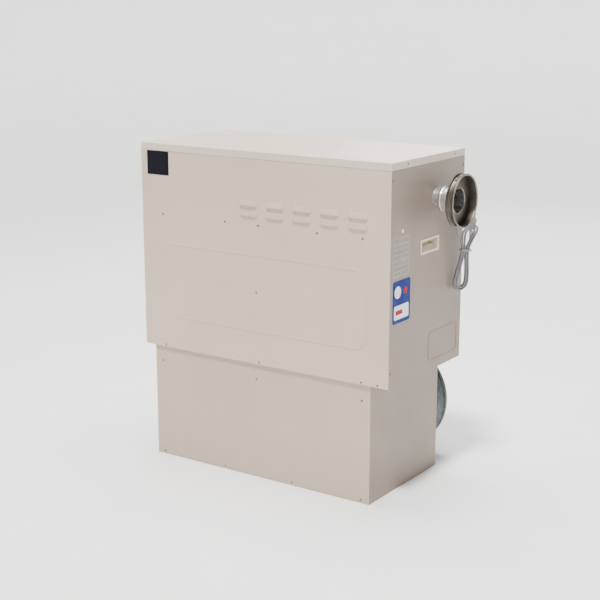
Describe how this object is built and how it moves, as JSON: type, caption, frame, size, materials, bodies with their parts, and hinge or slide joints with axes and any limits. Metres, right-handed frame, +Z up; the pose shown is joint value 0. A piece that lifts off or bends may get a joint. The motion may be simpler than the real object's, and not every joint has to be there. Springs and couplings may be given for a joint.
{
  "type": "ducted gas furnace",
  "caption": "Forced air gas furnace: beige sheet-metal cabinet with louvres, side flue collar and coiled cord, standing on a narrower plenum base with round duct spigots.",
  "frame": {"origin": "centre of the base's underside, on the floor", "axes": "+X to the right seen from the front, +Y to the back, +Z up"},
  "size_m": [1.168, 0.615, 1.192],
  "materials": {
    "paint": "satin warm grey-beige powder coat",
    "lid_paint": "satin pale powder coat",
    "galvanised": "spangled zinc coating",
    "flue_plate": "dull warm grey metal",
    "exchanger_steel": "aluminised steel",
    "cast_grey": "cast, matt",
    "motor_paint": "dark grey enamel",
    "cream_plastic": "moulded, fine texture",
    "black_plastic": "moulded",
    "grey_flex": "smooth cord sheath",
    "red_plastic": "moulded",
    "board_green": "circuit board",
    "brass": "plain",
    "ceramic": "unglazed"
  },
  "bodies": {
    "furnace_body": {"base_floor_tray": "galvanised", "base_front_panel": "paint", "base_back_panel": "paint", "base_right_side": "paint", "base_left_side": "paint", "base_divider": "galvanised", "supply_duct_spigot": "galvanised", "return_duct_spigot": "galvanised", "cabinet_floor": "galvanised", "cabinet_back_panel": "paint", "cabinet_right_side": "paint", "cabinet_left_side": "paint", "burner_shelf": "galvanised", "centre_partition": "galvanised", "top_frame": "galvanised", "right_carry_handle": "cream_plastic", "left_carry_handle": "cream_plastic", "blower_scroll": "galvanised", "blower_motor": "motor_paint", "blower_motor_bracket": "exchanger_steel", "blower_front_stand": "galvanised", "blower_rear_stand": "galvanised", "burner_manifold": "cast_grey", "gas_valve": "cast_grey", "gas_inlet_pipe": "brass", "collector_box": "exchanger_steel", "flue_fan_housing": "galvanised", "flue_fan_motor": "motor_paint", "spark_igniter": "ceramic", "flame_sensor": "ceramic", "overheat_switch": "black_plastic", "control_box": "galvanised", "control_board": "board_green", "flue_spigot": "galvanised", "flue_collar": "flue_plate", "cord_gland": "black_plastic", "supply_cord": "grey_flex", "cord_hank": "grey_flex", "hank_tie": "black_plastic", "mains_plug": "black_plastic", "exchanger_tube_1": "exchanger_steel", "burner_1": "exchanger_steel", "exchanger_tube_2": "exchanger_steel", "burner_2": "exchanger_steel", "exchanger_tube_3": "exchanger_steel", "burner_3": "exchanger_steel", "exchanger_tube_4": "exchanger_steel", "burner_4": "exchanger_steel", "exchanger_tube_5": "exchanger_steel", "burner_5": "exchanger_steel"},
    "front_cover": {"front_panel": "paint"},
    "top_cover": {"lid": "lid_paint"},
    "blower_rotor": {"blower_wheel": "galvanised", "blower_shaft": "exchanger_steel"},
    "flue_rotor": {"flue_fan_wheel": "exchanger_steel"},
    "valve_dial": {"gas_valve_knob": "red_plastic"}
  },
  "joints": [
    {"name": "blower_spin", "type": "hinge", "parent": "furnace_body", "child": "blower_rotor", "pos_m": [-0.262, 0.006, 0.676], "axis": [0, 1, 0], "continuous": true},
    {"name": "flue_fan_spin", "type": "hinge", "parent": "furnace_body", "child": "flue_rotor", "pos_m": [0.3705, 0.028, 1.037], "axis": [0, 0, 1], "continuous": true},
    {"name": "gas_valve_turn", "type": "hinge", "parent": "furnace_body", "child": "valve_dial", "pos_m": [0.0432, -0.108, 1.1], "axis": [0, 0, 1], "range_deg": [0, 90]},
    {"name": "front_panel_off", "type": "slide", "parent": "furnace_body", "child": "front_cover", "axis": [0, -1, 0], "range_m": [0, 0.3]},
    {"name": "lid_off", "type": "slide", "parent": "furnace_body", "child": "top_cover", "axis": [0, 0, 1], "range_m": [0, 0.3]}
  ]
}
